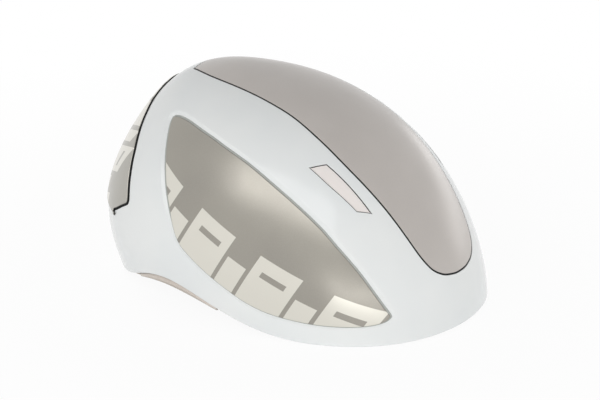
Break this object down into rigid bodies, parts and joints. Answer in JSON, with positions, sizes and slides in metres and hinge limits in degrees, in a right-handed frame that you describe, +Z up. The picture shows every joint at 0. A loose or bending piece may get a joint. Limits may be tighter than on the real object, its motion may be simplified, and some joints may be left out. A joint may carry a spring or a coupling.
{
  "type": "road bike helmet",
  "caption": "Closed aero road bike helmet: gloss shell with satin covers over a foam liner, with pads, a dial-tightened cradle, webbing straps and a magnetic buckle.",
  "frame": {"origin": "on the ground, below the middle of the helmet's overall box", "axes": "+X towards the front of the helmet, +Y towards the wearer's left, +Z up; the helmet stands on its rim at Z = 0"},
  "size_m": [0.2933, 0.209, 0.154],
  "materials": {
    "shell": "gloss white in-moulded polycarbonate",
    "top_cover": "satin taupe paint with fine metallic flake",
    "side_cover": "satin warm silver paint",
    "vent_insert": "pale moulded insert",
    "rim_trim": "soft moulded edge strip",
    "foam": "expanded polystyrene beads",
    "pad": "knitted mesh over foam",
    "hook_tape": "moulded hook tape",
    "moulding": "fine-textured nylon moulding",
    "acetal": "plain acetal moulding",
    "grip_rubber": "moulded rubber",
    "webbing": "woven polyester webbing",
    "steel": "plain steel"
  },
  "bodies": {
    "root": {"outer_shell": "shell", "top_cover": "top_cover", "side_cover_left": "side_cover", "side_cover_right": "side_cover", "rear_cover": "side_cover", "vent_insert_left": "vent_insert", "vent_insert_right": "vent_insert", "rim_trim": "rim_trim", "foam_liner": "foam", "brow_pad": "pad", "crown_pad": "pad", "side_pad_left": "pad", "side_pad_right": "pad", "hook_dots": "hook_tape", "temple_anchor_left": "moulding", "temple_anchor_right": "moulding", "temple_pin_left": "steel", "temple_pin_right": "steel", "front_anchor_left": "moulding", "front_anchor_right": "moulding", "rear_anchor_left": "moulding", "rear_anchor_right": "moulding", "front_strap_left": "webbing", "front_strap_right": "webbing", "rear_strap_left": "webbing", "rear_strap_right": "webbing", "divider_left": "moulding", "divider_right": "moulding", "divider_pin_left": "steel", "divider_pin_right": "steel", "chin_strap_left": "webbing", "chin_strap_right": "webbing", "buckle_base": "moulding", "buckle_magnet": "steel"},
    "cradle": {"cradle_arm_left": "moulding", "cradle_arm_right": "moulding", "gearbox_base": "moulding", "gearbox_cover": "moulding", "gearbox_screws": "steel", "click_spring": "steel", "cradle_yoke": "moulding", "cradle_pad_left": "pad", "cradle_pad_right": "pad"},
    "dial": {"pinion_gear": "acetal", "dial_knob": "moulding", "dial_grip": "grip_rubber", "dial_screw": "steel"},
    "rack_left": {"rack_left": "acetal"},
    "rack_right": {"rack_right": "acetal"},
    "lever_left": {"divider_lever_left": "moulding"},
    "lever_right": {"divider_lever_right": "moulding"},
    "buckle_half": {"buckle_slider": "moulding", "slider_magnet": "steel"},
    "keeper": {"strap_keeper": "grip_rubber"}
  },
  "joints": [
    {"name": "cradle_tilt", "type": "hinge", "parent": "root", "child": "cradle", "pos_m": [0.03487, 0, 0.036], "axis": [0, -1, 0], "range_deg": [0, 6]},
    {"name": "dial_turn", "type": "hinge", "parent": "cradle", "child": "dial", "pos_m": [-0.07737, 0, 0.016], "axis": [1, 0, 0], "range_deg": [0, 214.8]},
    {"name": "rack_left_slide", "type": "slide", "parent": "cradle", "child": "rack_left", "axis": [0, -1, 0], "range_m": [0, 0.015], "deforming": ["cradle_arm_left"]},
    {"name": "rack_right_slide", "type": "slide", "parent": "cradle", "child": "rack_right", "axis": [0, 1, 0], "range_m": [0, 0.015], "deforming": ["cradle_arm_right"]},
    {"name": "lever_left_turn", "type": "hinge", "parent": "root", "child": "lever_left", "pos_m": [-0.0146, 0.05, 0.0094], "axis": [0, 0, -1], "range_deg": [0, 80]},
    {"name": "lever_right_turn", "type": "hinge", "parent": "root", "child": "lever_right", "pos_m": [-0.0146, -0.05, 0.0094], "axis": [0, 0, 1], "range_deg": [0, 80]},
    {"name": "buckle_lift", "type": "slide", "parent": "root", "child": "buckle_half", "axis": [0, 0, 1], "range_m": [0, 0.012], "deforming": ["chin_strap_right"]},
    {"name": "keeper_slide", "type": "slide", "parent": "root", "child": "keeper", "axis": [0, -1, 0], "range_m": [0, 0.009]}
  ],
  "couplings": [
    {"joint": "rack_left_slide", "follows": "dial_turn", "m_per_rad": 0.004},
    {"joint": "rack_right_slide", "follows": "dial_turn", "m_per_rad": 0.004}
  ]
}
